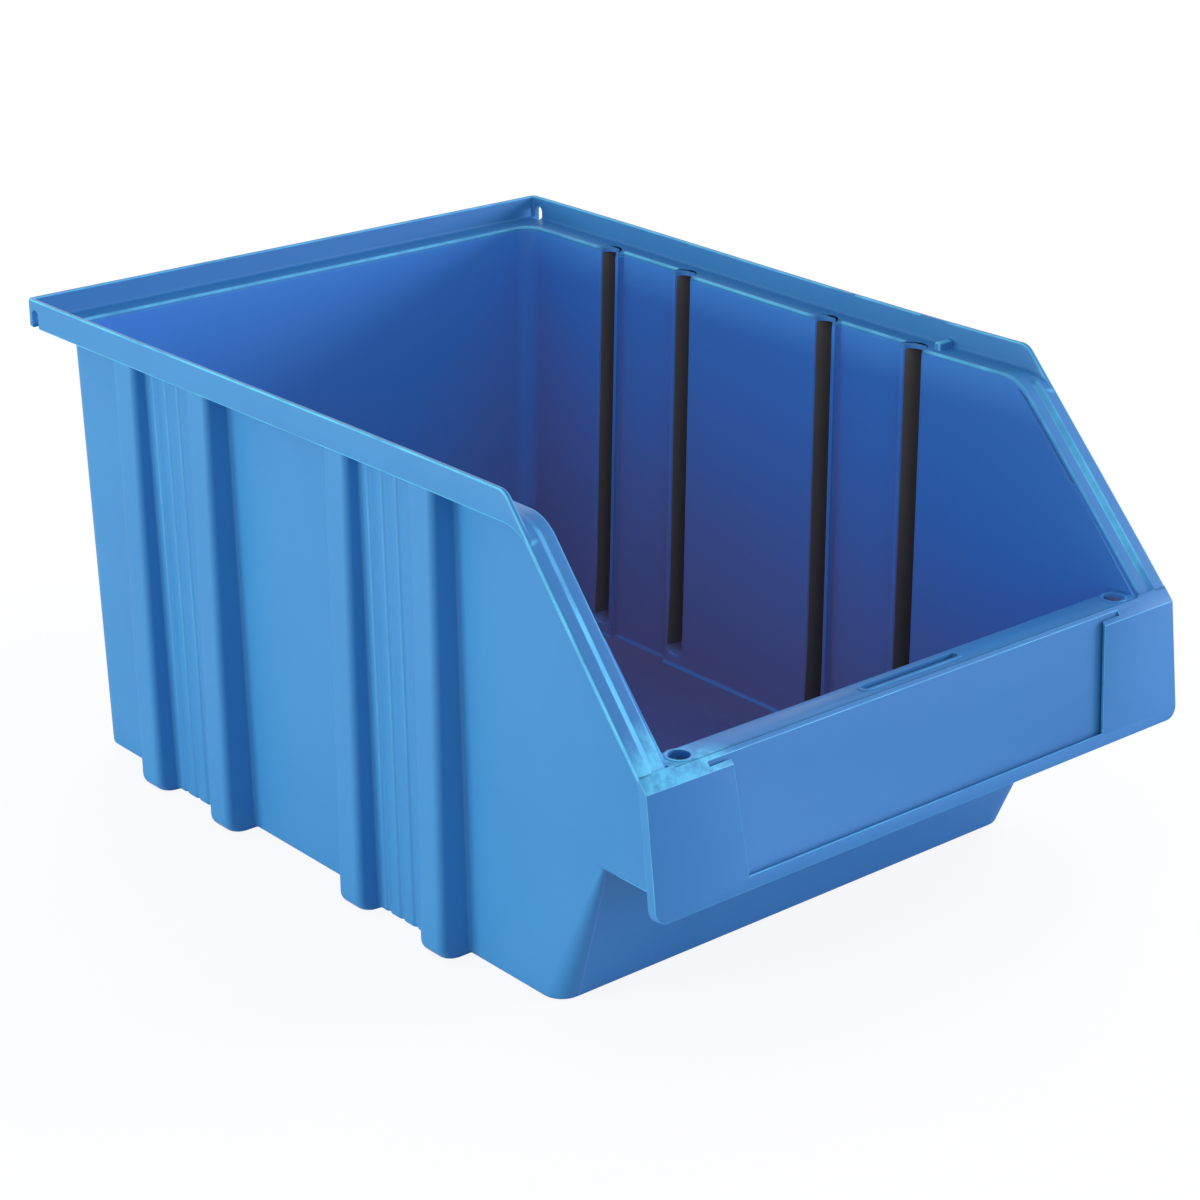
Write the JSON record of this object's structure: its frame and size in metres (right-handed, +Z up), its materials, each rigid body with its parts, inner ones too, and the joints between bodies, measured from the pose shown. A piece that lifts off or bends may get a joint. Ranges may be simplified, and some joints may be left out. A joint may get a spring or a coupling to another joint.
{
  "type": "stackable storage bin",
  "caption": "Open-front stackable plastic storage bin with a stepped stacking rim, divider channels in both sides and a label pocket on its front.",
  "frame": {"origin": "centre of the bounding box at the standing face", "axes": "front faces -Y, +Z is up, +X is to the right seen from the front"},
  "size_m": [0.21, 0.306, 0.155],
  "materials": {
    "blue_polypropylene": "satin, lightly grained"
  },
  "bodies": {
    "bin": {"floor_panel": "blue_polypropylene", "back_wall": "blue_polypropylene", "front_wall": "blue_polypropylene", "corner_left": "blue_polypropylene", "corner_right": "blue_polypropylene", "wall_left_rear": "blue_polypropylene", "wall_left_mid": "blue_polypropylene", "wall_left_front": "blue_polypropylene", "wall_right_rear": "blue_polypropylene", "wall_right_mid": "blue_polypropylene", "wall_right_front": "blue_polypropylene", "channel_left_1": "blue_polypropylene", "channel_left_2": "blue_polypropylene", "channel_left_3": "blue_polypropylene", "channel_left_4": "blue_polypropylene", "channel_right_1": "blue_polypropylene", "channel_right_2": "blue_polypropylene", "channel_right_3": "blue_polypropylene", "channel_right_4": "blue_polypropylene", "pad_left_rear": "blue_polypropylene", "pad_left_front": "blue_polypropylene", "pad_right_rear": "blue_polypropylene", "pad_right_front": "blue_polypropylene", "flange_left": "blue_polypropylene", "flange_right": "blue_polypropylene", "back_flange": "blue_polypropylene", "lip_left": "blue_polypropylene", "lip_right": "blue_polypropylene", "back_lip": "blue_polypropylene", "lug_left": "blue_polypropylene", "lug_right": "blue_polypropylene", "front_ledge": "blue_polypropylene", "label_panel": "blue_polypropylene", "rail_left": "blue_polypropylene", "rail_right": "blue_polypropylene", "rail_foot": "blue_polypropylene"}
  },
  "joints": []
}
